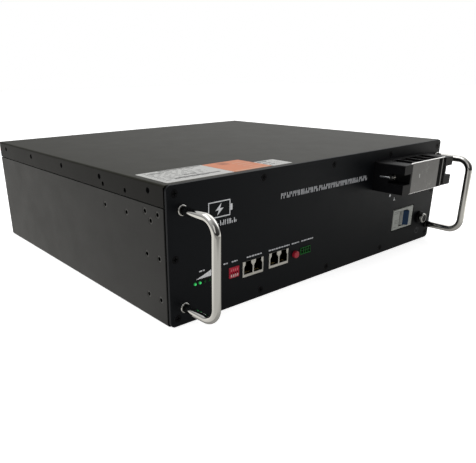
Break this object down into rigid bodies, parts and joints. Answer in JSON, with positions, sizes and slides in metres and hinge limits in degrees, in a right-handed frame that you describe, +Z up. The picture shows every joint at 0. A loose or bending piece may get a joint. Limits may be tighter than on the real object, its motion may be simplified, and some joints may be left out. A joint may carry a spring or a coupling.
{
  "type": "server rack battery",
  "caption": "Black rack-mount battery module with bow handles, a covered terminal block, a breaker and network sockets on its front panel.",
  "frame": {"origin": "under the middle of the whole outline, handles included, on the plane it rests on", "axes": "+X to the right seen from the front, front panel faces -Y, +Z up"},
  "size_m": [0.442, 0.4556, 0.1328],
  "materials": {
    "powder_black": "fine textured powder coat",
    "chrome": "polished chrome plate",
    "screw_black": "black zinc",
    "zinc": "zinc plated",
    "cell_wrap": "blue film on aluminium",
    "bare_aluminium": "mill finish",
    "copper": "bare and tinned copper",
    "insulation": "epoxy glass sheet",
    "board_green": "solder mask",
    "component_black": "moulded",
    "led_lit": "clear green",
    "led_dark": "clear",
    "dip_red": "moulded red",
    "slider_white": "moulded white",
    "socket_cream": "moulded cream",
    "contact_gold": "gold flash",
    "reset_red": "moulded red",
    "connector_green": "moulded green",
    "breaker_grey": "moulded grey",
    "toggle_blue": "moulded dark blue",
    "block_black": "moulded black",
    "button_silver": "bright cap",
    "smoke_clear": "smoky clear plastic",
    "lead_black": "cable jacket",
    "lead_red": "cable jacket",
    "label_white": "printed film",
    "label_orange": "printed film"
  },
  "bodies": {
    "case": {"bms_board": "board_green", "bms_components": "component_black", "bms_heatsink": "bare_aluminium", "bms_posts": "copper", "board_screws": "zinc", "board_standoffs": "zinc", "breaker_body": "breaker_grey", "breaker_rail": "zinc", "cable_lugs": "copper", "cell_insulation": "insulation", "cell_links": "bare_aluminium", "cell_poles": "bare_aluminium", "cells_front_row": "cell_wrap", "cells_rear_row": "cell_wrap", "charge_leds": "led_lit", "chassis_tray": "powder_black", "clinch_nuts": "zinc", "comm_board": "board_green", "cover_screws": "screw_black", "dip_switch_body": "dip_red", "dry_contact_connector": "connector_green", "dry_contact_screws": "contact_gold", "end_plates": "bare_aluminium", "fitting_nuts": "zinc", "front_panel": "powder_black", "front_panel_screws": "screw_black", "handle_collars": "chrome", "handle_left": "chrome", "handle_right": "chrome", "handle_screws": "zinc", "link_nuts": "zinc", "network_socket_left": "socket_cream", "network_socket_right": "socket_cream", "output_plates": "copper", "pack_tabs": "copper", "power_leads_negative": "lead_black", "power_leads_positive": "lead_red", "power_switch_housing": "block_black", "reset_switch_body": "component_black", "sense_boards": "board_green", "side_inserts": "zinc", "signal_wiring": "lead_black", "socket_contacts": "contact_gold", "status_leds": "led_dark", "sticker_orange": "label_orange", "stickers_white": "label_white", "terminal_block": "block_black", "terminal_block_screws": "zinc", "terminal_screws": "zinc", "terminal_studs": "copper", "tie_bars": "zinc", "top_cover": "powder_black"},
    "toggle": {"breaker_toggle": "toggle_blue"},
    "button": {"power_button": "button_silver"},
    "reset": {"reset_button": "reset_red"},
    "clear_cover": {"terminal_cover": "smoke_clear"},
    "slider_1": {"dip_slider_1": "slider_white"},
    "slider_2": {"dip_slider_2": "slider_white"},
    "slider_3": {"dip_slider_3": "slider_white"},
    "slider_4": {"dip_slider_4": "slider_white"}
  },
  "joints": [
    {"name": "breaker_toggle_turn", "type": "hinge", "parent": "case", "child": "toggle", "pos_m": [0.1515, -0.1715, 0.0387], "axis": [0, 0, -1], "range_deg": [0, 76]},
    {"name": "power_button_press", "type": "slide", "parent": "case", "child": "button", "axis": [0, 1, 0], "range_m": [0, 0.0025], "stiffness_N_per_m": 300, "springref_m": -0.001},
    {"name": "reset_button_press", "type": "slide", "parent": "case", "child": "reset", "axis": [0, 1, 0], "range_m": [0, 0.001], "stiffness_N_per_m": 400, "springref_m": -0.0005},
    {"name": "terminal_cover_pull", "type": "slide", "parent": "case", "child": "clear_cover", "axis": [0, -1, 0], "range_m": [0, 0.03]},
    {"name": "dip_slider_1_slide", "type": "slide", "parent": "case", "child": "slider_1", "axis": [0, 0, 1], "range_m": [0, 0.0024]},
    {"name": "dip_slider_2_slide", "type": "slide", "parent": "case", "child": "slider_2", "axis": [0, 0, 1], "range_m": [0, 0.0024]},
    {"name": "dip_slider_3_slide", "type": "slide", "parent": "case", "child": "slider_3", "axis": [0, 0, 1], "range_m": [0, 0.0024]},
    {"name": "dip_slider_4_slide", "type": "slide", "parent": "case", "child": "slider_4", "axis": [0, 0, 1], "range_m": [0, 0.0024]}
  ]
}
